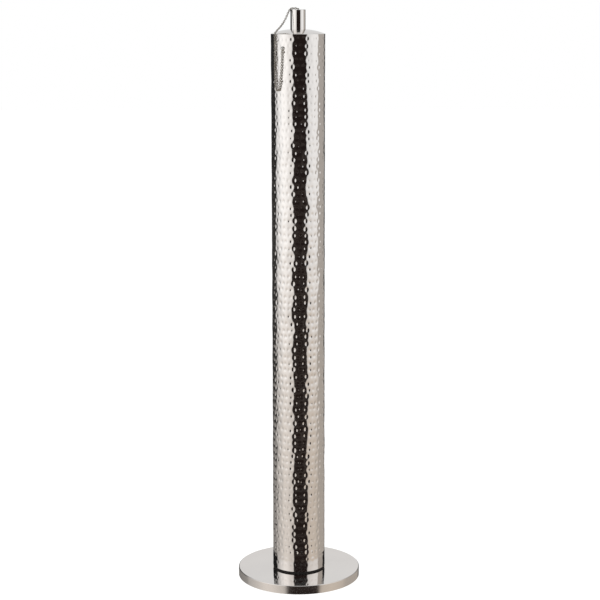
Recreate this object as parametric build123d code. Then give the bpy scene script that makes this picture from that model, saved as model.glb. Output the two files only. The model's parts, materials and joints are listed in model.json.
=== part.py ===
from build123d import *
import math
import os

# Floor-standing oil torch: hammered steel tube on a weighted disc, fuel canister, burner,
# snuffer cap and cap chain. Millimetres, +Z up, origin on the floor under the tube's axis.

# Shared clearances
fit = 0.05
loose_fit = 0.3

# Base disc
base_diameter = 209.6
base_height = 15.3
base_sheet = 1.2
base_edge_radius = 1.2
base_rim_gap = 0.5
foot_thickness = 2.0
foot_inset = 6.0
underplate_thickness = 2.5
base_opening_radius = 15.0

# Screws that hold the plate under the ballast
screw_count = 4
screw_circle_radius = 70.0
screw_radius = 2.0
screw_head_radius = 3.8
screw_head_height = 2.2
screw_length = 8.0
screw_socket_across = 2.5
screw_socket_depth = 1.2

# Tie bolt between base and tube
bolt_radius = 5.0
bolt_hole_clearance = 0.5
bolt_head_across = 16.0
bolt_head_height = 4.5
bolt_head_lift = 1.5
bolt_washer_radius = 10.5
bolt_washer_thickness = 1.5
bolt_tail = 3.0
nut_across = 16.0
nut_height = 8.0

# Gasket between disc and tube
gasket_thickness = 3.0
gasket_recess = 0.8
gasket_width = 6.0

# Tube and the cup welded into its foot
tube_diameter = 90.0
tube_wall = 1.0
tube_length = 913.2
cup_floor = 3.0
cup_wall = 2.0
cup_height = 16.0

# Dome on the tube
dome_rise = 7.3
dome_sheet = 1.2
dome_arc_radius = 100.0
dome_skirt = 12.0
dome_land_margin = 0.5

# Wick and burner
wick_diameter = 12.6
wick_show = 4.0
wick_floor_gap = 10.0
wick_tube_wall = 0.7
wick_tube_show = 4.0
wick_tube_tail = 4.0
plug_wall = 0.95
plug_length = 13.0
plug_hex_height = 4.0
plug_hex_inset = 0.2
thread_clearance = 0.1
washer_thickness = 1.0
washer_overhang = 0.6

# Filler neck and its ring nut
neck_wall = 1.2
neck_rise = 0.5
neck_boss_overhang = 2.5
neck_spigot = 2.0
neck_nut_wall = 1.5
neck_nut_height = 2.5

# Fuel canister
canister_gap = 4.0
canister_wall = 0.8
canister_length = 200.0
canister_plate = 1.0
canister_lip = 6.0
canister_dome_gap = 1.0

# Snuffer cap
cap_height = 32.0
cap_wall = 1.0
cap_gap = 0.35
cap_edge_radius = 1.2

# Headed pins that hold the chain's two rings
pin_radius = 1.0
pin_head_radius = 1.9
pin_head_height = 0.9
pin_standoff = 1.4
pin_tail_radius = 1.8
pin_tail_height = 0.8
wall_pin_depth = 21.5
wall_washer_radius = 3.0
wall_washer_thickness = 0.8

# Chain
chain_wire = 0.9
chain_width = 3.6
chain_pitch = 2.6
chain_play = 0.2
ring_radius = 2.8
ring_play = 0.3
ring_pin_gap = 0.3
ring_surface_gap = 0.25
ring_tilt = 15.0
link_lean = 45.0
link_leans_at_ring = [90.0, 15.0, 60.0]
cap_chain_azimuth = 64.0
rim_chain_azimuth = 53.4
wall_pin_azimuth = 33.4
loop_depth = 91.0
# Hanging part of the chain's route: run along the wall from the rim strand, depth below the rim
loop_route = [(15.6, 42.0), (13.9, 62.0), (11.6, 78.0), (10.8, loop_depth), (1.7, loop_depth),
              (0.6, 76.0), (0.0, 60.0), (0.0, 30.0), (0.0, 5.0)]
# Route over the rim and onto the cap: outward, round in degrees and up from each edge
rim_route = [(0.7, 0.0, 2.0), (-12.6, 2.0, 11.8)]
cap_route = [(12.0, -6.0, -18.5), (2.2, -1.0, 0.2), (-4.0, 0.0, 0.1)]
route_steps = 200
pitch_slack = 0.1
pitch_halvings = 40

# Share of a round corner's radius at its middle
diagonal = math.sin(math.radians(45))

# Base levels and radii
base_radius = base_diameter / 2
cover_inside_radius = base_radius - base_sheet
cover_underside = base_height - base_sheet
underplate_top = foot_thickness + underplate_thickness
bolt_head_top = bolt_head_lift + bolt_head_height
recess_top = bolt_head_top + bolt_washer_thickness
bolt_hole_radius = bolt_radius + bolt_hole_clearance

# Tube levels and radii
tube_radius = tube_diameter / 2
tube_bore_radius = tube_radius - tube_wall
tube_low = base_height + gasket_thickness
tube_top = tube_low + tube_length
cup_top = tube_low + cup_floor
apex = tube_top + dome_rise
land_underside = apex - dome_sheet

# Burner stack, from the wick outward
wick_radius = wick_diameter / 2
wick_tube_bore = wick_radius + loose_fit
wick_tube_radius = wick_tube_bore + wick_tube_wall
plug_bore = wick_tube_radius + fit
plug_radius = plug_bore + plug_wall
neck_bore = plug_radius + thread_clearance
neck_radius = neck_bore + neck_wall
neck_hole_radius = neck_radius + fit
neck_boss_radius = neck_radius + neck_boss_overhang
neck_nut_radius = neck_hole_radius + neck_nut_wall
plug_hex_across = 2 * (neck_nut_radius - plug_hex_inset) * math.cos(math.radians(30))
cap_bore = neck_nut_radius + cap_gap
cap_radius = cap_bore + cap_wall
land_radius = cap_radius + dome_land_margin

# Burner levels
neck_top = apex + neck_nut_height + neck_rise
washer_top = neck_top + washer_thickness
hex_top = washer_top + plug_hex_height
wick_tube_top = hex_top + wick_tube_show
plug_low = washer_top - plug_length
wick_top = wick_tube_top + wick_show
cap_top = apex + cap_height


def dome_drop(radius):
    """Height of the dome's outer face below its flat land, at a radius."""
    run = tube_radius - land_radius
    chord = math.hypot(run, dome_rise)
    start = math.atan2(dome_rise, run) - math.asin(chord / 2 / dome_arc_radius)
    there = math.asin(math.sin(start) + (radius - land_radius) / dome_arc_radius)
    return dome_arc_radius * (math.cos(start) - math.cos(there))


# Canister levels and radii
canister_radius = tube_bore_radius - canister_gap
canister_bore = canister_radius - canister_wall
canister_top_level = land_underside - dome_drop(canister_radius) - canister_dome_gap
canister_high = canister_top_level - canister_plate
canister_low = canister_high - canister_length
canister_floor = canister_low + canister_lip
lip_radius = canister_bore - fit
lip_bore = lip_radius - canister_wall

# Chain sizes
wire_radius = chain_wire / 2
link_half_width = (chain_width - chain_wire) / 2
link_reach = (chain_wire + chain_play) / 2
chain_standoff = link_half_width * math.sin(math.radians(link_lean)) + wire_radius + loose_fit
ring_offset = ring_radius - wire_radius - pin_radius - ring_pin_gap
ring_lift = ring_surface_gap + wire_radius + ring_radius * math.sin(math.radians(ring_tilt))
wall_pin_level = tube_top - wall_pin_depth


def disc(radius, low, high):
    return Pos(0, 0, low) * Cylinder(radius, high - low, align=(Align.CENTER, Align.CENTER, Align.MIN))


def ring(outer, inner, low, high):
    return disc(outer, low, high) - disc(inner, low, high)


def hexagon(across, low, high):
    outline = RegularPolygon(across / 2, 6, major_radius=False)
    return extrude(Pos(0, 0, low) * outline, high - low)


def turned(edges):
    """Solid of revolution about Z of a closed outline given as edges in (radius, height)."""
    return revolve(Plane.XZ * make_face(edges), Axis.Z)


def polar(radius, azimuth, level):
    """Point at an azimuth measured from the front (-Y) towards the left (-X)."""
    angle = math.radians(azimuth)
    return Vector(-radius * math.sin(angle), -radius * math.cos(angle), level)


def rounded_edge(radius, top, edge):
    """Quarter arc from a flat top face to an upright wall."""
    slant = edge * (1 - diagonal)
    return ThreePointArc((radius - edge, top), (radius - slant, top - slant), (radius, top - edge))


def foot_ring():
    return ring(cover_inside_radius - foot_inset, base_opening_radius, 0, foot_thickness)


def screw_places():
    return PolarLocations(screw_circle_radius, screw_count)


def screw_form(gap, length):
    """Flat-headed screw about Z, head down on the foot ring, grown by a gap."""
    head = Cone(screw_head_radius + gap, screw_radius + gap, screw_head_height,
                align=(Align.CENTER, Align.CENTER, Align.MIN))
    shank = disc(screw_radius + gap, foot_thickness, foot_thickness + length)
    return Pos(0, 0, foot_thickness) * head + shank


def screw_holes():
    hole = screw_form(fit, screw_length + loose_fit)
    return [place * hole for place in screw_places()]


def underplate_screws():
    socket = hexagon(screw_socket_across, foot_thickness, foot_thickness + screw_socket_depth)
    screw = screw_form(0, screw_length) - socket
    return [place * screw for place in screw_places()]


def base_underplate():
    plate = ring(cover_inside_radius - fit, base_opening_radius, foot_thickness, underplate_top)
    return plate - screw_holes()


def base_ballast():
    weight = ring(cover_inside_radius - loose_fit, bolt_hole_radius, underplate_top, cover_underside)
    return weight - disc(base_opening_radius, underplate_top, recess_top) - screw_holes()


def base_cover():
    edge = min(base_edge_radius, base_sheet)
    outline = Polyline((base_radius, base_height - edge), (base_radius, base_rim_gap),
                       (cover_inside_radius, base_rim_gap), (cover_inside_radius, cover_underside),
                       (bolt_hole_radius, cover_underside), (bolt_hole_radius, base_height),
                       (base_radius - edge, base_height))
    return turned([outline, rounded_edge(base_radius, base_height, edge)])


def base_gasket():
    outer = tube_radius - gasket_recess
    return ring(outer, outer - gasket_width, base_height, tube_low)


def tie_bolt():
    head = hexagon(bolt_head_across, bolt_head_lift, bolt_head_top)
    return head + disc(bolt_radius, bolt_head_top, cup_top + nut_height + bolt_tail)


def tie_washer():
    return ring(bolt_washer_radius, bolt_hole_radius, bolt_head_top, recess_top)


def tie_nut():
    top = cup_top + nut_height
    return hexagon(nut_across, cup_top, top) - disc(bolt_radius + fit, cup_top, top)


def foot_cup():
    outer = tube_bore_radius - fit
    floor = ring(outer, bolt_hole_radius, tube_low, cup_top)
    return floor + ring(outer, outer - cup_wall, cup_top, tube_low + cup_height)


def body_tube():
    wall = ring(tube_radius, tube_bore_radius, tube_low, tube_top)
    hole = Cylinder(pin_radius + fit, tube_radius, align=(Align.CENTER, Align.CENTER, Align.MIN))
    return wall - wall_pin_plane(tube_bore_radius / 2) * hole


def dome_top():
    middle = (land_radius + tube_radius) / 2
    outer = tube_bore_radius - fit
    inner = outer - dome_sheet
    inner_middle = (land_radius + inner) / 2
    inner_end = (inner, land_underside - dome_drop(inner))
    crown = ThreePointArc((land_radius, apex), (middle, apex - dome_drop(middle)), (tube_radius, tube_top))
    skirt = Polyline((tube_radius, tube_top), (outer, tube_top), (outer, tube_top - dome_skirt),
                     (inner, tube_top - dome_skirt), inner_end)
    underside = ThreePointArc(inner_end, (inner_middle, land_underside - dome_drop(inner_middle)),
                              (land_radius, land_underside))
    land = Polyline((land_radius, land_underside), (neck_hole_radius, land_underside),
                    (neck_hole_radius, apex), (land_radius, apex))
    return turned([crown, skirt, underside, land])


def filler_neck():
    spigot_low = canister_high - neck_spigot
    boss = disc(neck_boss_radius, canister_top_level, land_underside)
    return boss + disc(neck_radius, spigot_low, neck_top) - disc(neck_bore, spigot_low, neck_top)


def neck_nut():
    return ring(neck_nut_radius, neck_hole_radius, apex, apex + neck_nut_height)


def canister_top():
    plate = ring(canister_radius, neck_hole_radius, canister_high, canister_top_level)
    lip = ring(lip_radius, lip_bore, canister_high - canister_lip, canister_high)
    return plate + lip


def canister_shell():
    return ring(canister_radius, canister_bore, canister_low, canister_high)


def canister_bottom():
    plate = disc(lip_radius, canister_floor - canister_plate, canister_floor)
    return plate + ring(lip_radius, lip_bore, canister_low, canister_floor - canister_plate)


def burner_washer():
    return ring(neck_radius + washer_overhang, plug_radius + loose_fit, neck_top, washer_top)


def burner_plug():
    body = hexagon(plug_hex_across, washer_top, hex_top) + disc(plug_radius, plug_low, washer_top)
    return body - disc(plug_bore, plug_low, hex_top)


def wick_tube():
    return ring(wick_tube_radius, wick_tube_bore, plug_low - wick_tube_tail, wick_tube_top)


def wick():
    return disc(wick_radius, canister_floor + wick_floor_gap, wick_top)


def snuffer_cap():
    edge = min(cap_edge_radius, cap_wall)
    hole = pin_radius + fit
    outline = Polyline((cap_radius, cap_top - edge), (cap_radius, apex), (cap_bore, apex),
                       (cap_bore, cap_top - cap_wall), (hole, cap_top - cap_wall), (hole, cap_top),
                       (cap_radius - edge, cap_top))
    return turned([outline, rounded_edge(cap_radius, cap_top, edge)])


def headed_pin(backing):
    """Pin along Z through a sheet whose outer face is at zero, closed behind the backing."""
    head_low = pin_standoff
    head = turned([Polyline((pin_head_radius, head_low), (0, head_low), (0, head_low + pin_head_height)),
                   ThreePointArc((0, head_low + pin_head_height),
                                 (pin_head_radius * diagonal, head_low + pin_head_height * diagonal),
                                 (pin_head_radius, head_low))])
    stem = disc(pin_radius, -backing, pin_standoff)
    return head + stem + disc(pin_tail_radius, -backing - pin_tail_height, -backing)


def cap_rivet():
    return Pos(0, 0, cap_top) * headed_pin(cap_wall)


def wall_pin_plane(radius):
    """Plane on the wall pin's axis, facing straight out of the tube."""
    outward = polar(1, wall_pin_azimuth, 0)
    return Plane(origin=outward * radius + Vector(0, 0, wall_pin_level), x_dir=(0, 0, -1), z_dir=outward)


def wall_washer_face():
    """Distance from the tube's axis to the face of the flat washer against the curved wall."""
    return math.sqrt(tube_bore_radius ** 2 - wall_washer_radius ** 2) - fit


def wall_rivet():
    backing = tube_radius - wall_washer_face() + wall_washer_thickness
    return wall_pin_plane(tube_radius) * headed_pin(backing)


def wall_washer():
    washer = ring(wall_washer_radius, pin_radius + fit, -wall_washer_thickness, 0)
    return wall_pin_plane(wall_washer_face()) * washer


def tilted_ring(plane):
    """Ring round a pin, drawn along the plane's x direction and lifted at its far end."""
    loop = Rot(0, -ring_tilt, 0) * Torus(ring_radius, wire_radius)
    return plane * Pos(ring_offset, 0, ring_lift) * loop


def cap_plane():
    return Plane(origin=(0, 0, cap_top), x_dir=polar(1, cap_chain_azimuth, 0), z_dir=(0, 0, 1))


def cap_ring():
    return tilted_ring(cap_plane())


def wall_ring():
    return tilted_ring(wall_pin_plane(tube_radius))


def ring_end(plane):
    """Place in a tilted ring where the first chain link hooks in, as radius, azimuth and level."""
    tilt = math.radians(ring_tilt)
    reach = ring_radius - chain_wire - ring_play + link_reach
    place = plane.from_local_coords(Vector(ring_offset + reach * math.cos(tilt), 0,
                                           ring_lift + reach * math.sin(tilt)))
    return Vector(math.hypot(place.X, place.Y), math.degrees(math.atan2(-place.X, -place.Y)), place.Z)


def chain_route():
    """Control points of the chain from the wall's ring to the cap's: radius, azimuth, level."""
    wall = tube_radius + chain_standoff
    over_cap = cap_top + chain_standoff

    def on_wall(run, depth):
        return Vector(wall, rim_chain_azimuth - math.degrees(run / wall), tube_top - depth)

    def near(radius, azimuth, level, offset):
        return Vector(radius + offset[0], azimuth + offset[1], level + offset[2])

    hanging = [on_wall(*place) for place in loop_route]
    over_rim = [near(wall, rim_chain_azimuth, tube_top, offset) for offset in rim_route]
    onto_cap = [near(cap_radius, cap_chain_azimuth, over_cap, offset) for offset in cap_route]
    start = ring_end(wall_pin_plane(tube_radius))
    return [start] + hanging + over_rim + onto_cap + [ring_end(cap_plane())]


def smooth(points, steps):
    """Quadratic B-spline through the ends of a control polygon, as a dense list of points."""
    middles = [(a + b) * 0.5 for a, b in zip(points[1:-2], points[2:-1])]
    starts = [points[0]] + middles
    ends = middles + [points[-1]]
    path = [points[0]]
    for start, bend, end in zip(starts, points[1:-1], ends):
        for step in range(1, steps + 1):
            t = step / steps
            path.append(start * (1 - t) ** 2 + bend * (2 * t * (1 - t)) + end * t ** 2)
    return path


def step_along(path, pitch, count):
    """Points one pitch apart, in a straight line each, along a dense path."""
    places = [path[0]]
    for here in path[1:]:
        while len(places) <= count and (here - places[-1]).length >= pitch:
            places.append(places[-1] + (here - places[-1]).normalized() * pitch)
    return places


def link_joints():
    """Places where neighbouring links hook together, with the pitch that fills the route."""
    path = [polar(place.X, place.Y, place.Z) for place in smooth(chain_route(), route_steps)]
    length = sum((b - a).length for a, b in zip(path, path[1:]))
    count = round(length / chain_pitch)
    low = chain_pitch * (1 - pitch_slack)
    high = chain_pitch * (1 + pitch_slack)
    for _ in range(pitch_halvings):
        pitch = (low + high) / 2
        if len(step_along(path, pitch, count)) > count:
            low = pitch
        else:
            high = pitch
    places = step_along(path, low, count)
    return places[:count] + [path[-1]], low


def chain_link(pitch):
    """Oval link in the XY plane, long along Y."""
    leg = pitch / 2 + link_reach - link_half_width
    bend = revolve(Plane.XZ * Pos(link_half_width, 0) * Circle(wire_radius), Axis.Z, 180)
    bar = Rot(90, 0, 0) * Cylinder(wire_radius, 2 * leg)
    bars = Pos(link_half_width, 0, 0) * bar + Pos(-link_half_width, 0, 0) * bar
    return bars + Pos(0, leg, 0) * bend + Pos(0, -leg, 0) * Rot(0, 0, 180) * bend


def chain_links():
    """All links in order, each turned a quarter against the one before."""
    places, pitch = link_joints()
    form = chain_link(pitch)
    last = len(places) - 2
    links = []
    for index, (start, end) in enumerate(zip(places, places[1:])):
        middle = (start + end) * 0.5
        along = (end - start).normalized()
        on_side = middle.Z < (tube_top + cap_top) / 2
        away = Vector(middle.X, middle.Y, 0).normalized() if on_side else Vector(0, 0, 1)
        away = (away - along * away.dot(along)).normalized()
        across = along.cross(away) if index % 2 else away.cross(along)
        from_ring = min(index, last - index)
        near_ring = from_ring < len(link_leans_at_ring)
        lean = math.radians(link_leans_at_ring[from_ring] if near_ring else link_lean)
        facing = away * math.cos(lean) + across * math.sin(lean)
        frame = Plane(origin=middle, x_dir=along.cross(facing), z_dir=facing)
        links.append((middle, frame * form))
    return links


def chain_nodes():
    """Hanging loop up to the rim, and the span from the rim to the cap."""
    loop = []
    span = []
    for middle, link in chain_links():
        over_rim = middle.Z > tube_top + chain_width
        (span if over_rim else loop).append(link)
    return {"chain_loop": loop, "chain_span": span}


single_nodes = [
    foot_ring, base_underplate, underplate_screws, base_ballast, base_cover, base_gasket,
    tie_bolt, tie_washer, tie_nut, foot_cup, body_tube, dome_top,
    canister_shell, canister_top, canister_bottom, filler_neck, neck_nut,
    burner_washer, burner_plug, wick_tube, wick,
    snuffer_cap, cap_rivet, cap_ring, wall_rivet, wall_washer, wall_ring,
]
nodes = {make.__name__: make() for make in single_nodes}
nodes.update(chain_nodes())

os.makedirs("parts", exist_ok=True)
for name, shape in nodes.items():
    solid = Compound(shape) if isinstance(shape, list) else shape
    export_step(solid, f"parts/{name}.step")
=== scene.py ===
import json
import math

import bpy
import numpy as np
from mathutils import Matrix, Vector

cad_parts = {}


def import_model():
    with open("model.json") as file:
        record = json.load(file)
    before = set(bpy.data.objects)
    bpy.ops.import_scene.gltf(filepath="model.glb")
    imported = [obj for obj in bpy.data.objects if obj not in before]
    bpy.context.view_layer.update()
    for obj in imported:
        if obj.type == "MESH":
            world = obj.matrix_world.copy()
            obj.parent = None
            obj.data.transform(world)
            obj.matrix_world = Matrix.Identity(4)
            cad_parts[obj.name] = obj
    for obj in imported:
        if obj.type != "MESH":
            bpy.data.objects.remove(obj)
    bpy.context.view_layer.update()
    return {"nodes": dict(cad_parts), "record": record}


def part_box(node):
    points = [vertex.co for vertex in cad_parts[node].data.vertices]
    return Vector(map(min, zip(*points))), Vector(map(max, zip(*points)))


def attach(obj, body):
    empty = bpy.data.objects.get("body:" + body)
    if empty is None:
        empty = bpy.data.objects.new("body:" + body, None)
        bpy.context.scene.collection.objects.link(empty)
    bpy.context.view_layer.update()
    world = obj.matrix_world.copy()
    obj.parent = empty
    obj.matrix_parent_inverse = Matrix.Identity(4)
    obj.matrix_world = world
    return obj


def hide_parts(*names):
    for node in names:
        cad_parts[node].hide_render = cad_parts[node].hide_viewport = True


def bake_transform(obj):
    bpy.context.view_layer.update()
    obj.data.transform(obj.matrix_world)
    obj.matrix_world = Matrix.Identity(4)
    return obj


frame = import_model()

# Camera, fitted to the photograph's outlines
camera_distance = 2.6835
camera_height = 0.9869
camera_side = 0.0026
camera_pitch = math.radians(10.571)
camera_roll = math.radians(-0.09)
camera_lens = 96.62
camera_sensor = 36.0
camera_clip = 100.0

# Hammer marks of the tube: each a broad hollow with a small pit in it, as depth, half width and half height
dent_seed = 11
dents_per_ring = 31
dent_row_pitch = 0.01146
dent_first_row = 0.0080
dent_last_row = 0.0060
dent_forms = [(0.00010, 0.0032, 0.0036), (0.00055, 0.0016, 0.0020)]
dent_reach = 4
dent_wander = 0.0010
dent_sways = 2
dent_strengths = (0.7, 1.3)
dent_variation = (0.7, 1.15)
dent_foot_strength = 0.45
dent_foot_rows = 2
tube_wall = 0.0019
tube_columns = 280
tube_rows = 906
tube_sections = 3

# Sheet thicknesses, edges and holes of the turned shells
shell_sheet = 0.0012
base_edge = 0.0012
base_hole = 0.0055
rim_dullness = 0.13
cap_wall = 0.0010
cap_edge = 0.0010
cap_hole = 0.00105
dome_arc_radius = 0.100
dome_land_margin = 0.0005
neck_boss_overhang = 0.0025
neck_fit = 0.00005
crown_points = 40
underside_points = 30
edge_steps = 10
lathe_segments = 224

# Slow waves in the hammered wall: their number, depth, lobes round the tube and lengths along it
wave_count = 5
wave_depth = 0.00008
wave_lobes = (6, 10)
wave_lengths = (0.045, 0.120)

# Braided wick, with finer rows near its top and rings of its frayed end as share of the radius and drop
wick_carriers = 8
wick_braid_pitch = 0.0105
wick_relief = 0.00055
wick_columns = 160
wick_row_step = 0.004
wick_fine_length = 0.035
wick_fine_step = 0.0004
wick_end_margin = 0.0006
wick_end_rings = [(0.96, 0.0003), (0.86, 0.0001), (0.62, 0.0002), (0.36, 0.0001), (0.12, 0.0003)]
wick_fray = 0.00035
wick_sharp_degrees = 80.0

# Studio walls, and the room round them
studio_radius = 1.25
studio_low = -1.6
studio_high = 2.2
room_radius = 12.0
room_low = -16.0
room_high = 24.0
wall_segments = 180

# Floor, general light and soft lamps
white = (1, 1, 1, 1)
floor_size = 12.0
floor_colour = (0.55, 0.55, 0.55, 1)
floor_lift = 0.72
world_light = 0.55
lamp_target = (0, 0, 0.4)
key_lamp = {"place": (-1.4, -1.2, 2.6), "size": 1.6, "power": 26.0}
fill_lamp = {"place": (1.6, -0.6, 2.2), "size": 1.8, "power": 14.0}


def reach(node):
    """Largest radius of a round CAD node about the Z axis."""
    low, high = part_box(node)
    return max(high[0], high[1], -low[0], -low[1])


def level(node, end):
    """Lowest (0) or highest (1) level of a CAD node."""
    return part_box(node)[end][2]


tube_radius = reach("body_tube")
tube_low = level("body_tube", 0)
tube_top = level("body_tube", 1)
tube_bore = tube_radius - tube_wall
apex = level("dome_top", 1)
cap_radius = reach("snuffer_cap")
cap_top = level("snuffer_cap", 1)
base_radius = reach("base_cover")
base_low = level("base_cover", 0)
base_top = level("base_cover", 1)


# Mesh helpers

def mesh_object(name, vertices, faces, sharp_degrees=40.0):
    mesh = bpy.data.meshes.new(name)
    mesh.from_pydata([tuple(v) for v in vertices], [], faces)
    mesh.polygons.foreach_set("use_smooth", [True] * len(mesh.polygons))
    mesh.set_sharp_from_angle(angle=math.radians(sharp_degrees))
    obj = bpy.data.objects.new(name, mesh)
    bpy.context.scene.collection.objects.link(obj)
    return obj


def grid_faces(rows, columns, closed_rows=False):
    """Quads of a grid whose columns wrap round, and whose rows do too if asked."""
    faces = []
    for row in range(rows if closed_rows else rows - 1):
        above = (row + 1) % rows
        for column in range(columns):
            beside = (column + 1) % columns
            faces.append((row * columns + column, row * columns + beside,
                          above * columns + beside, above * columns + column))
    return faces


def lathe(name, outline):
    """Ring-shaped solid: a closed outline of (radius, level) points turned about Z."""
    angles = np.linspace(0, 2 * math.pi, lathe_segments, endpoint=False)
    vertices = []
    for radius, height in outline:
        for angle in angles:
            vertices.append((radius * math.cos(angle), radius * math.sin(angle), height))
    return mesh_object(name, vertices, grid_faces(len(outline), lathe_segments, True))


def arc(centre, radius, start, end, steps):
    """Points of an arc in (radius, level), with angles in degrees from the outward direction."""
    points = []
    for step in range(steps + 1):
        angle = math.radians(start + (end - start) * step / steps)
        points.append((centre[0] + radius * math.cos(angle), centre[1] + radius * math.sin(angle)))
    return points


# Shader helpers

class Paint:
    """A material with a Principled shader and short calls for the nodes that feed it."""

    def __init__(self, name, **settings):
        self.material = bpy.data.materials.new(name)
        self.material.use_nodes = True
        self.nodes = self.material.node_tree.nodes
        self.links = self.material.node_tree.links
        self.shader = self.nodes["Principled BSDF"]
        self.place = self.nodes.new("ShaderNodeTexCoord").outputs["Object"]
        for key, value in settings.items():
            self.shader.inputs[key.replace("_", " ").title()].default_value = value

    def link(self, source, target):
        self.links.new(source, target)

    def math(self, operation, first, second=None):
        node = self.nodes.new("ShaderNodeMath")
        node.operation = operation
        for socket, value in zip(node.inputs, (first, second)):
            if isinstance(value, (int, float)):
                socket.default_value = value
            elif value is not None:
                self.link(value, socket)
        return node.outputs[0]

    def height(self):
        split = self.nodes.new("ShaderNodeSeparateXYZ")
        self.link(self.place, split.inputs[0])
        return split.outputs["Z"]

    def turned_place(self):
        """Coordinates of radius and level only, the same all the way round the axis."""
        split = self.nodes.new("ShaderNodeSeparateXYZ")
        self.link(self.place, split.inputs[0])
        square = self.math("ADD", self.math("MULTIPLY", split.outputs[0], split.outputs[0]),
                           self.math("MULTIPLY", split.outputs[1], split.outputs[1]))
        join = self.nodes.new("ShaderNodeCombineXYZ")
        self.link(self.math("SQRT", square), join.inputs[0])
        self.link(split.outputs[2], join.inputs[2])
        return join.outputs[0]

    def noise(self, scale, detail=3.0, roughness=0.5, place=None):
        node = self.nodes.new("ShaderNodeTexNoise")
        node.inputs["Scale"].default_value = scale
        node.inputs["Detail"].default_value = detail
        node.inputs["Roughness"].default_value = roughness
        self.link(place or self.place, node.inputs["Vector"])
        return node.outputs["Fac"]

    def cells(self, scale):
        node = self.nodes.new("ShaderNodeTexVoronoi")
        node.inputs["Scale"].default_value = scale
        self.link(self.place, node.inputs["Vector"])
        return node.outputs["Color"]

    def span(self, value, low, high, start=0.3, end=0.7):
        """Maps a value's middle range onto low to high."""
        node = self.nodes.new("ShaderNodeMapRange")
        for socket, number in zip(("From Min", "From Max", "To Min", "To Max"), (start, end, low, high)):
            node.inputs[socket].default_value = number
        self.link(value, node.inputs["Value"])
        return node.outputs["Result"]

    def colour(self, value, first, second, start=0.3, end=0.7):
        """Colours the surface from first to second as value rises."""
        ramp = self.nodes.new("ShaderNodeValToRGB")
        ramp.color_ramp.elements[0].position = start
        ramp.color_ramp.elements[1].position = end
        ramp.color_ramp.elements[0].color = (*first, 1)
        ramp.color_ramp.elements[1].color = (*second, 1)
        self.link(value, ramp.inputs["Fac"])
        self.link(ramp.outputs["Color"], self.shader.inputs["Base Color"])

    def rough(self, value):
        self.link(value, self.shader.inputs["Roughness"])

    def bump(self, value, height):
        node = self.nodes.new("ShaderNodeBump")
        node.inputs["Strength"].default_value = 1.0
        node.inputs["Distance"].default_value = height
        self.link(value, node.inputs["Height"])
        self.link(node.outputs["Normal"], self.shader.inputs["Normal"])


def shade(tint, factor):
    return tuple(channel * factor for channel in tint)


# Materials

def polished_steel(name, rim_level=None):
    """Mirror-polished sheet with faint turning lines and handling haze; duller below a rim level."""
    paint = Paint(name, metallic=1.0)
    tint = (0.835, 0.808, 0.787)
    paint.colour(paint.noise(14.0), shade(tint, 0.95), tint)
    haze = paint.span(paint.noise(38.0, detail=5.0, roughness=0.6), low=0.02, high=0.07)
    lines = paint.noise(1700.0, detail=2.0, place=paint.turned_place())
    if rim_level is not None:
        dull = paint.span(paint.height(), rim_dullness, 0.0, start=rim_level - base_edge, end=rim_level)
        haze = paint.math("ADD", haze, dull)
    paint.rough(paint.math("ADD", haze, paint.span(lines, low=0.0, high=0.02)))
    paint.bump(lines, height=0.0000012)
    return paint.material


def hammered_steel():
    """Polished tube with faint clouds of haze and fine polishing scratches."""
    paint = Paint("hammered_steel", metallic=1.0)
    tint = (0.84, 0.812, 0.79)
    paint.colour(paint.noise(9.0, detail=4.0), shade(tint, 0.94), tint)
    haze = paint.span(paint.noise(55.0, detail=4.0, roughness=0.6), low=0.03, high=0.085)
    scratches = paint.noise(2600.0, detail=2.0)
    paint.rough(paint.math("ADD", haze, paint.span(scratches, low=0.0, high=0.035)))
    paint.bump(paint.noise(420.0, detail=3.0), height=0.000004)
    return paint.material


def plain_steel():
    """Zinc-plated steel of fasteners and hidden pressings."""
    paint = Paint("plain_steel", metallic=1.0)
    paint.colour(paint.noise(160.0, detail=4.0), (0.44, 0.445, 0.45), (0.60, 0.60, 0.59))
    paint.rough(paint.span(paint.noise(420.0, detail=3.0), low=0.22, high=0.38))
    paint.bump(paint.noise(1500.0), height=0.000008)
    return paint.material


def chain_steel():
    """Bright drawn wire with darker flecks."""
    paint = Paint("chain_steel", metallic=1.0)
    paint.colour(paint.noise(520.0, detail=3.0), (0.33, 0.305, 0.265), (0.58, 0.54, 0.485))
    paint.rough(paint.span(paint.noise(900.0, detail=3.0), low=0.14, high=0.30))
    paint.bump(paint.noise(2400.0), height=0.000006)
    return paint.material


def tinplate():
    """Tinned sheet with a faint spangle."""
    paint = Paint("tinplate", metallic=1.0)
    paint.colour(paint.cells(240.0), (0.56, 0.565, 0.57), (0.68, 0.68, 0.675), start=0.0, end=1.0)
    paint.rough(paint.span(paint.noise(60.0, detail=4.0), low=0.24, high=0.40))
    paint.bump(paint.noise(700.0), height=0.000006)
    return paint.material


def cast_iron():
    """Rough dark casting."""
    paint = Paint("cast_iron", metallic=0.6)
    paint.colour(paint.noise(260.0, detail=5.0), (0.045, 0.044, 0.043), (0.10, 0.098, 0.094))
    paint.rough(paint.span(paint.noise(500.0), low=0.6, high=0.85))
    paint.bump(paint.noise(900.0, detail=6.0, roughness=0.7), height=0.00012)
    return paint.material


def turned_brass():
    """Machined brass with tool marks round its axis."""
    paint = Paint("brass", metallic=1.0)
    lines = paint.noise(3200.0, detail=2.0, place=paint.turned_place())
    paint.colour(paint.noise(130.0, detail=4.0), (0.66, 0.46, 0.19), (0.80, 0.60, 0.29))
    paint.rough(paint.span(lines, low=0.19, high=0.27))
    paint.bump(lines, height=0.0000012)
    return paint.material


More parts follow.
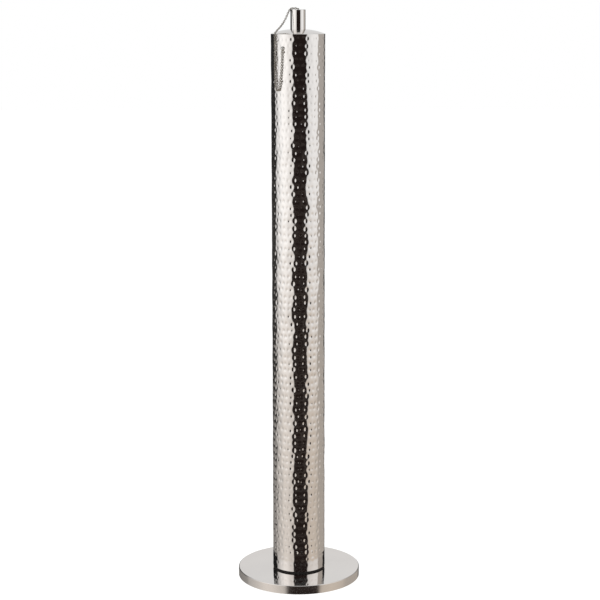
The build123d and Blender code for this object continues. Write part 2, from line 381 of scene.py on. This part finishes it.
def black_rubber(name, coarse):
    """Moulded rubber with a dusty grain."""
    paint = Paint(name)
    paint.colour(paint.noise(coarse, detail=5.0), (0.012, 0.010, 0.010), (0.032, 0.028, 0.027))
    paint.rough(paint.span(paint.noise(coarse * 3.0), low=0.55, high=0.80))
    paint.bump(paint.noise(coarse * 4.0, detail=4.0), height=0.00004)
    paint.shader.inputs["Specular IOR Level"].default_value = 0.2
    return paint.material


def glass_fibre():
    """White glass-fibre yarn with a fine fleck."""
    paint = Paint("glass_fibre", sheen_weight=0.25, subsurface_weight=0.1)
    paint.shader.inputs["Subsurface Radius"].default_value = (0.0008, 0.0007, 0.0006)
    paint.colour(paint.noise(2600.0, detail=3.0), (0.68, 0.66, 0.61), (0.86, 0.84, 0.79))
    paint.rough(paint.span(paint.noise(1900.0), low=0.6, high=0.85))
    paint.bump(paint.noise(5200.0, detail=3.0), height=0.00004)
    return paint.material


materials = {
    "polished_steel": polished_steel("polished_steel"),
    "hammered_steel": hammered_steel(),
    "plain_steel": plain_steel(),
    "chain_steel": chain_steel(),
    "tinplate": tinplate(),
    "iron": cast_iron(),
    "brass": turned_brass(),
    "black_rubber": black_rubber("black_rubber", 300.0),
    "foot_rubber": black_rubber("foot_rubber", 160.0),
    "glass_fibre": glass_fibre(),
}


def finish_piece(obj, slot, material=None):
    obj.data.materials.clear()
    obj.data.materials.append(material or materials[slot])


# Turned shells

def polished_shell(name, node, body, outline, material=None):
    shell = lathe(name, outline)
    finish_piece(shell, "polished_steel", material)
    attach(shell, body)
    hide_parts(node)


def base_cover():
    inside = base_radius - shell_sheet
    corner = arc((base_radius - base_edge, base_top - base_edge), base_edge, 90, 0, edge_steps)
    outline = [(base_hole, base_top), (base_radius / 2, base_top)] + corner
    outline += [(base_radius, base_low), (inside, base_low), (inside, base_top - shell_sheet)]
    outline += [(base_hole, base_top - shell_sheet)]
    turned_rim = polished_steel("polished_base", base_top - base_edge / 2)
    polished_shell("base_cover_shell", "base_cover", "torch", outline, turned_rim)


def snuffer_cap():
    bore = cap_radius - cap_wall
    corner = arc((cap_radius - cap_edge, cap_top - cap_edge), cap_edge, 90, 0, edge_steps)
    outline = [(cap_hole, cap_top)] + corner
    outline += [(cap_radius, apex), (bore, apex), (bore, cap_top - cap_wall), (cap_hole, cap_top - cap_wall)]
    polished_shell("snuffer_cap_shell", "snuffer_cap", "cap", outline)


def dome_drop(radius, land):
    """Height of the dome's outer face below its flat land, at a radius."""
    run = tube_radius - land
    rise = apex - tube_top
    start = math.atan2(rise, run) - math.asin(math.hypot(run, rise) / 2 / dome_arc_radius)
    there = math.asin(math.sin(start) + (radius - land) / dome_arc_radius)
    return dome_arc_radius * (math.cos(start) - math.cos(there))


def dome_top():
    land = cap_radius + dome_land_margin
    hole = reach("filler_neck") - neck_boss_overhang + neck_fit
    skirt = tube_bore
    inside = skirt - shell_sheet
    skirt_low = level("dome_top", 0)
    crown = [(r, apex - dome_drop(r, land)) for r in np.linspace(land, tube_radius, crown_points)]
    inner_radii = np.linspace(inside, land, underside_points)
    under = [(r, apex - shell_sheet - dome_drop(r, land)) for r in inner_radii]
    outline = [(hole, apex)] + crown + [(skirt, tube_top), (skirt, skirt_low), (inside, skirt_low)]
    outline += under + [(hole, apex - shell_sheet)]
    polished_shell("dome_shell", "dome_top", "torch", outline)


# Hammered tube

def hammer_marks():
    """Angle, level and strength of every hammer mark, stronger towards the foot, weak in the last rows."""
    rng = np.random.default_rng(dent_seed)
    rows = int((tube_top - tube_low - dent_first_row - dent_last_row) / dent_row_pitch) + 1
    marks = []
    for row in range(rows):
        middle = tube_top - dent_first_row - row * dent_row_pitch
        growth = dent_strengths[0] + (dent_strengths[1] - dent_strengths[0]) * math.sqrt(row / rows)
        if row >= rows - dent_foot_rows:
            growth = dent_foot_strength
        phase = rng.uniform(0, 1)
        sway = rng.uniform(0, 2 * math.pi)
        for column in range(dents_per_ring):
            angle = 2 * math.pi * (column + phase) / dents_per_ring
            angle += rng.normal(0, dent_wander) / tube_radius
            height = middle + dent_wander * math.sin(dent_sways * angle + sway)
            height += rng.normal(0, dent_wander / 2)
            marks.append((angle, height, growth * rng.uniform(*dent_variation)))
    return marks


def dent_field(marks, angles, levels):
    """Depth of the hammered face and its slopes round and up the tube, on a grid."""
    depth, round_slope, up_slope = np.zeros((3, len(levels), len(angles)))
    for angle, height, strength in marks:
        around = ((angles - angle + math.pi) % (2 * math.pi) - math.pi) * tube_radius
        above = levels - height
        for deep, wide, tall in dent_forms:
            near = np.abs(above) < dent_reach * tall
            beside = np.abs(around) < dent_reach * wide
            if near.any():
                away = (above[near, None] / tall) ** 2 + (around[None, beside] / wide) ** 2
                hollow = deep * strength * np.exp(-away / 2)
                window = np.ix_(near, beside)
                depth[window] += hollow
                round_slope[window] -= hollow * around[None, beside] / wide ** 2
                up_slope[window] -= hollow * above[near, None] / tall ** 2
    return np.stack([depth, round_slope, up_slope])


def wall_waves(angles, levels):
    """Depth and slopes of the slow waves, which die away at the tube's ends, on a grid."""
    rng = np.random.default_rng(dent_seed)
    share = (levels[:, None] - tube_low) / (tube_top - tube_low)
    fade = np.sqrt(np.sin(math.pi * share.clip(0, 1)).clip(0, 1))
    depth, round_slope, up_slope = np.zeros((3, len(levels), len(angles)))
    for _ in range(wave_count):
        lobes = rng.integers(*wave_lobes, endpoint=True)
        climb = rng.choice((-1, 1)) * 2 * math.pi / rng.uniform(*wave_lengths)
        phase = lobes * angles + climb * levels[:, None] + rng.uniform(0, 2 * math.pi)
        depth += fade * wave_depth * (1 + np.sin(phase))
        round_slope += fade * wave_depth * np.cos(phase) * lobes / tube_radius
        up_slope += fade * wave_depth * np.cos(phase) * climb
    return np.stack([depth, round_slope, up_slope])


def tube_section(name, marks, angles, levels):
    """Closed length of the tube's wall, with the true direction of the hammered face at every corner."""
    columns = len(angles)
    rows = len(levels)
    outward = np.stack([np.cos(angles), np.sin(angles), np.zeros(columns)], axis=-1)
    sideways = np.stack([-np.sin(angles), np.cos(angles), np.zeros(columns)], axis=-1)
    upward = np.array([0.0, 0.0, 1.0])
    depth, round_slope, up_slope = dent_field(marks, angles, levels) + wall_waves(angles, levels)
    face = (tube_radius - depth)[..., None] * outward + levels[:, None, None] * upward
    facing = outward + round_slope[..., None] * sideways + up_slope[..., None] * upward
    facing /= np.linalg.norm(facing, axis=-1, keepdims=True)
    bore = tube_bore * outward + levels[[-1, 0], None, None] * upward
    section = mesh_object(name, np.concatenate([face, bore]).reshape(-1, 3),
                          grid_faces(rows + 2, columns, True))
    corners = np.array([loop.vertex_index for loop in section.data.loops]).reshape(-1, columns, 4)
    vertex_facing = np.concatenate([facing, -outward[None], -outward[None]]).reshape(-1, 3)
    normals = vertex_facing[corners]
    normals[rows - 1] = upward
    normals[rows + 1] = -upward
    section.data.normals_split_custom_set(normals.reshape(-1, 3).tolist())
    finish_piece(section, "hammered_steel")
    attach(section, "torch")
    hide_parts("body_tube")


def body_tube():
    marks = hammer_marks()
    angles = np.linspace(0, 2 * math.pi, tube_columns, endpoint=False)
    levels = np.linspace(tube_low, tube_top, tube_rows)
    ends = np.linspace(0, tube_rows - 1, tube_sections + 1).astype(int)
    for index, (first, last) in enumerate(zip(ends, ends[1:])):
        tube_section(f"hammered_tube_{index + 1}", marks, angles, levels[first:last + 1])


# Wick

def braid(angle, height):
    """Relief of a round braid, from 0 in the gaps to 1 on a yarn."""
    turn = 2 * math.pi * height / wick_braid_pitch
    left = wick_carriers * angle + turn
    right = wick_carriers * angle - turn
    over = (np.floor(left / math.pi) + np.floor(right / math.pi)) % 2 == 0
    return np.where(over, np.abs(np.sin(left)), np.abs(np.sin(right)))


def wick():
    radius = reach("wick")
    low = level("wick", 0)
    top = level("wick", 1)
    columns = wick_columns
    rng = np.random.default_rng(dent_seed)
    angles = np.linspace(0, 2 * math.pi, columns, endpoint=False)
    fine_low = top - wick_fine_length
    levels = np.concatenate([np.arange(low, fine_low, wick_row_step),
                             np.arange(fine_low, top - wick_end_margin, wick_fine_step)])
    rows = []
    for height in levels:
        rows.append((radius - wick_relief * (1 - braid(angles, height)), np.full(columns, height)))
    for share, drop in wick_end_rings:
        fray = rng.uniform(0, wick_fray, columns)
        rows.append((np.full(columns, radius * share), top - drop - fray))
    vertices = []
    for radii, heights in rows:
        vertices += zip(radii * np.cos(angles), radii * np.sin(angles), heights)
    faces = grid_faces(len(rows), columns)
    faces.append(tuple(range((len(rows) - 1) * columns, len(rows) * columns)))
    faces.append(tuple(reversed(range(columns))))
    rope = mesh_object("wick_braid", vertices, faces, wick_sharp_degrees)
    finish_piece(rope, "glass_fibre")
    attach(rope, "wick")
    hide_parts("wick")


# Chain between rim and cap

def chain_span():
    links = bpy.data.objects.new("chain_span_links", frame["nodes"]["chain_span"].data.copy())
    bpy.context.scene.collection.objects.link(links)
    finish_piece(links, "chain_steel")
    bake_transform(links)
    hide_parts("chain_span")


# CAD nodes that keep their shape

def dress_nodes():
    slots = {part["node"]: part["material_slot"] for part in frame["record"]["subparts"]}
    for name, node in frame["nodes"].items():
        node.data.materials.clear()
        node.data.materials.append(materials[slots[name]])


# Studio

def glow(name, colour_maker, cover_maker=None):
    """Glowing material, open wherever its cover is 0."""
    material = bpy.data.materials.new(name)
    material.use_nodes = True
    nodes = material.node_tree.nodes
    nodes.clear()
    output = nodes.new("ShaderNodeOutputMaterial")
    emission = nodes.new("ShaderNodeEmission")
    links = material.node_tree.links
    links.new(colour_maker(nodes, links), emission.inputs["Color"])
    shader = emission.outputs[0]
    if cover_maker:
        mix = nodes.new("ShaderNodeMixShader")
        links.new(cover_maker(nodes, links), mix.inputs["Fac"])
        links.new(nodes.new("ShaderNodeBsdfTransparent").outputs[0], mix.inputs[1])
        links.new(shader, mix.inputs[2])
        shader = mix.outputs[0]
    links.new(shader, output.inputs["Surface"])
    return material


def ramp_node(nodes, stops):
    ramp = nodes.new("ShaderNodeValToRGB")
    elements = ramp.color_ramp.elements
    while len(elements) < len(stops):
        elements.new(0.5)
    for element, (position, colour) in zip(elements, stops):
        element.position = position
        element.color = (*colour, 1)
    return ramp


def grey(value, warmth=0.0):
    return (value, value * (1 - warmth), value * (1 - 2 * warmth))


# Wall tones: azimuth in degrees from the front, right positive, then the tones for the tube's top and foot
black = (0.0165, 0.0110, 0.0102)
low_black = (0.0185, 0.0125, 0.0110)
wall_tones = [
    (-180, grey(0.78), grey(0.74, 0.04)), (-170, grey(0.78), grey(0.74, 0.04)),
    (-107, grey(0.62), grey(0.50, 0.05)), (-81, grey(1.06), grey(0.65, 0.06)),
    (-65, grey(1.24, 0.01), grey(0.81, 0.07)), (-51, grey(1.13, 0.01), grey(0.80, 0.07)),
    (-37, grey(0.95, 0.02), grey(0.69, 0.07)), (-24, grey(0.86, 0.02), grey(0.62, 0.07)),
    (39, grey(0.80), grey(0.60, 0.11)), (60, grey(0.95), grey(0.66, 0.12)),
    (72, grey(1.02), grey(0.64, 0.12)), (91, grey(0.98), grey(0.56, 0.11)),
    (95, grey(0.47, 0.065), grey(0.46, 0.095)), (128, grey(0.46, 0.065), grey(0.45, 0.095)),
    (169, grey(0.78), grey(0.74, 0.04)), (180, grey(0.78), grey(0.74, 0.04)),
]
wall_gaps = [(-170, -166, -111, -107), (-24, -21, 36, 39), (128, 131, 165, 169)]
wall_change = (-0.29, 0.74)

# Room tones in the gaps: azimuth, then the tones for the tube's top, its foot and the disc, and the one above
behind = (grey(0.014), grey(0.28))
ahead = (black, grey(0.04))
room_tones = [
    (-166, grey(0.022), grey(0.20, 0.05), *behind), (-107, grey(0.022), grey(0.36, 0.05), *behind),
    (-24, black, low_black, *ahead), (39, black, low_black, *ahead),
    (128, grey(0.46, 0.065), grey(0.45, 0.095), *behind),
    (144, grey(0.45, 0.065), grey(0.44, 0.095), *behind),
    (148, grey(0.05), grey(0.44, 0.095), *behind), (156, grey(0.05), grey(0.20, 0.05), *behind),
]
room_changes = [(-3.7, -2.1), (1.2, 2.4), (5.0, 5.2)]
room_pale_start = (9.6, 11.0)
pale_tone = grey(0.66)

# Which tone of a row lies lowest, and which ones follow upwards
lowest_tone = 2
tones_upwards = (1, 3, 4)

# Ceiling tones: share of the radius, then the tone
ceiling_tones = [(0.0, grey(0.46)), (0.35, grey(0.56)), (0.7, grey(0.63)), (1.0, grey(0.66))]

# Faint level streaks in the room: tone, stretch and scale of their noise, its range, and where they fade
streak_tone = grey(0.040, 0.10)
streak_stretch = (0.2, 0.2, 1.0)
streak_scale = 1.6
streak_share = (0.36, 0.72)
streak_fades = [(-4.4, -2.8), (0.6, -1.2)]


def rise(nodes, links, value, first, second):
    """Smooth change from 0 at the first value to 1 at the second."""
    node = nodes.new("ShaderNodeMapRange")
    node.interpolation_type = "SMOOTHSTEP"
    node.inputs["From Min"].default_value = first
    node.inputs["From Max"].default_value = second
    links.new(value, node.inputs["Value"])
    return node.outputs["Result"]


def mixed(nodes, links, factor, first, second, blend="MIX"):
    node = nodes.new("ShaderNodeMix")
    node.data_type = "RGBA"
    node.blend_type = blend
    links.new(factor, node.inputs["Factor"])
    for name, colour in (("A", first), ("B", second)):
        socket = [s for s in node.inputs if s.name == name and s.type == "RGBA"][0]
        if isinstance(colour, tuple):
            socket.default_value = (*colour, 1)
        else:
            links.new(colour, socket)
    return [s for s in node.outputs if s.type == "RGBA"][0]


def place_round(nodes, links):
    """Share of a turn, from the back by the left, and the level."""
    split = nodes.new("ShaderNodeSeparateXYZ")
    links.new(nodes.new("ShaderNodeNewGeometry").outputs["Position"], split.inputs[0])
    front = nodes.new("ShaderNodeMath")
    front.operation = "MULTIPLY"
    front.inputs[1].default_value = -1.0
    links.new(split.outputs["Y"], front.inputs[0])
    azimuth = nodes.new("ShaderNodeMath")
    azimuth.operation = "ARCTAN2"
    links.new(split.outputs["X"], azimuth.inputs[0])
    links.new(front.outputs[0], azimuth.inputs[1])
    share = nodes.new("ShaderNodeMapRange")
    share.inputs["From Min"].default_value = -math.pi
    share.inputs["From Max"].default_value = math.pi
    links.new(azimuth.outputs[0], share.inputs["Value"])
    return share.outputs[0], split.outputs["Z"]


def turn_share(azimuth):
    """Share of a turn from the back by the left, for an azimuth in degrees."""
    return azimuth / 360 + 0.5


def tone_ramp(nodes, links, share, tones, which):
    ramp = ramp_node(nodes, [(turn_share(tone[0]), tone[which]) for tone in tones])
    links.new(share, ramp.inputs["Fac"])
    return ramp.outputs["Color"]


def tones_round(nodes, links, tones, levels):
    """Tones by azimuth, changing from the foot's to the top's and to further sets at the given levels."""
    share, height = place_round(nodes, links)
    colour = tone_ramp(nodes, links, share, tones, lowest_tone)
    for which, change in zip(tones_upwards, levels):
        above = tone_ramp(nodes, links, share, tones, which)
        colour = mixed(nodes, links, rise(nodes, links, height, *change), colour, above)
    return colour, height


def wall_colour(nodes, links):
    return tones_round(nodes, links, wall_tones, [wall_change])[0]


def wall_cover(nodes, links):
    stops = []
    for angles in wall_gaps:
        stops += [(turn_share(angle), grey(cover)) for angle, cover in zip(angles, (1, 0, 0, 1))]
    ramp = ramp_node(nodes, stops)
    links.new(place_round(nodes, links)[0], ramp.inputs["Fac"])
    return ramp.outputs["Color"]


def room_streaks(nodes, links, height):
    """Share of the streak tone: stretched noise that fades out upwards and downwards."""
    stretch = nodes.new("ShaderNodeVectorMath")
    stretch.operation = "MULTIPLY"
    stretch.inputs[1].default_value = streak_stretch
    links.new(nodes.new("ShaderNodeNewGeometry").outputs["Position"], stretch.inputs[0])
    noise = nodes.new("ShaderNodeTexNoise")
    noise.inputs["Scale"].default_value = streak_scale
    links.new(stretch.outputs[0], noise.inputs["Vector"])
    share = rise(nodes, links, noise.outputs["Fac"], *streak_share)
    for fade in streak_fades:
        product = nodes.new("ShaderNodeMath")
        product.operation = "MULTIPLY"
        links.new(share, product.inputs[0])
        links.new(rise(nodes, links, height, *fade), product.inputs[1])
        share = product.outputs[0]
    return share


def room_colour(nodes, links):
    colour, height = tones_round(nodes, links, room_tones, room_changes)
    colour = mixed(nodes, links, rise(nodes, links, height, *room_pale_start), colour, pale_tone)
    return mixed(nodes, links, room_streaks(nodes, links, height), colour, streak_tone, "ADD")


def ceiling_colour(nodes, links):
    length = nodes.new("ShaderNodeVectorMath")
    length.operation = "LENGTH"
    links.new(nodes.new("ShaderNodeTexCoord").outputs["Object"], length.inputs[0])
    outward = nodes.new("ShaderNodeMapRange")
    outward.inputs["From Max"].default_value = studio_radius
    links.new(length.outputs["Value"], outward.inputs["Value"])
    ramp = ramp_node(nodes, ceiling_tones)
    links.new(outward.outputs[0], ramp.inputs["Fac"])
    return ramp.outputs["Color"]


def reflected_only(obj):
    obj.visible_camera = False
    obj.visible_diffuse = False
    obj.visible_shadow = False
    obj.visible_transmission = False


def circle(radius, height):
    angles = np.linspace(0, 2 * math.pi, wall_segments, endpoint=False)
    return [(radius * math.cos(a), radius * math.sin(a), height) for a in angles]


def round_wall(name, radius, low, high, material):
    wall = mesh_object(name, circle(radius, low) + circle(radius, high), grid_faces(2, wall_segments))
    wall.data.materials.append(material)
    reflected_only(wall)


def studio_walls():
    wall_glow = glow("studio_wall", wall_colour, wall_cover)
    round_wall("studio_wall", studio_radius, studio_low, studio_high, wall_glow)
    round_wall("studio_room", room_radius, room_low, room_high, glow("studio_room", room_colour))
    ring = circle(studio_radius, 0)
    ceiling = mesh_object("studio_ceiling", ring, [tuple(range(len(ring)))])
    ceiling.location.z = studio_high
    ceiling.data.materials.append(glow("studio_ceiling", ceiling_colour))
    reflected_only(ceiling)


def seen_or_mirrored(nodes, links):
    """1 for what the camera sees straight, in a mirror or through glass, and 0 for light on the object."""
    path = nodes.new("ShaderNodeLightPath")
    seen = path.outputs["Is Camera Ray"]
    for ray in ("Is Glossy Ray", "Is Transmission Ray"):
        either = nodes.new("ShaderNodeMath")
        either.operation = "MAXIMUM"
        links.new(seen, either.inputs[0])
        links.new(path.outputs[ray], either.inputs[1])
        seen = either.outputs[0]
    return seen


def floor():
    size = floor_size
    corners = [(-size, -size, 0), (size, -size, 0), (size, size, 0), (-size, size, 0)]
    ground = mesh_object("floor", corners, [(0, 1, 2, 3)])
    material = bpy.data.materials.new("floor")
    material.use_nodes = True
    nodes = material.node_tree.nodes
    links = material.node_tree.links
    nodes.clear()
    diffuse = nodes.new("ShaderNodeBsdfDiffuse")
    diffuse.inputs["Color"].default_value = floor_colour
    lift = nodes.new("ShaderNodeEmission")
    lift.inputs["Color"].default_value = white
    strength = nodes.new("ShaderNodeMath")
    strength.operation = "MULTIPLY"
    strength.inputs[1].default_value = floor_lift
    links.new(seen_or_mirrored(nodes, links), strength.inputs[0])
    links.new(strength.outputs[0], lift.inputs["Strength"])
    both = nodes.new("ShaderNodeAddShader")
    links.new(diffuse.outputs[0], both.inputs[0])
    links.new(lift.outputs[0], both.inputs[1])
    output = nodes.new("ShaderNodeOutputMaterial")
    links.new(both.outputs[0], output.inputs["Surface"])
    ground.data.materials.append(material)
    ground.visible_glossy = False


def world():
    scene_world = bpy.data.worlds.new("studio")
    scene_world.use_nodes = True
    nodes = scene_world.node_tree.nodes
    links = scene_world.node_tree.links
    background = nodes["Background"]
    background.inputs["Color"].default_value = white
    strength = nodes.new("ShaderNodeMapRange")
    strength.inputs["To Min"].default_value = world_light
    strength.inputs["To Max"].default_value = 1.0
    links.new(seen_or_mirrored(nodes, links), strength.inputs["Value"])
    links.new(strength.outputs[0], background.inputs["Strength"])
    bpy.context.scene.world = scene_world


def lamp(name, place, size, power):
    data = bpy.data.lights.new(name, "AREA")
    data.shape = "DISK"
    data.size = size
    data.energy = power
    obj = bpy.data.objects.new(name, data)
    obj.location = place
    obj.rotation_euler = (Vector(lamp_target) - Vector(place)).to_track_quat("-Z", "Y").to_euler()
    obj.visible_glossy = False
    obj.visible_camera = False
    bpy.context.scene.collection.objects.link(obj)


def camera():
    data = bpy.data.cameras.new("camera")
    data.lens = camera_lens
    data.sensor_width = camera_sensor
    data.clip_end = camera_clip
    obj = bpy.data.objects.new("camera", data)
    tilt = Matrix.Rotation(math.pi / 2 - camera_pitch, 4, "X")
    roll = Matrix.Rotation(camera_roll, 4, "Z")
    obj.matrix_world = Matrix.Translation((camera_side, -camera_distance, camera_height)) @ tilt @ roll
    bpy.context.scene.collection.objects.link(obj)
    bpy.context.scene.camera = obj


def studio():
    bpy.context.scene.view_settings.view_transform = "Standard"
    world()
    floor()
    studio_walls()
    lamp("key_lamp", **key_lamp)
    lamp("fill_lamp", **fill_lamp)
    camera()


dress_nodes()
base_cover()
dome_top()
snuffer_cap()
body_tube()
wick()
chain_span()
studio()
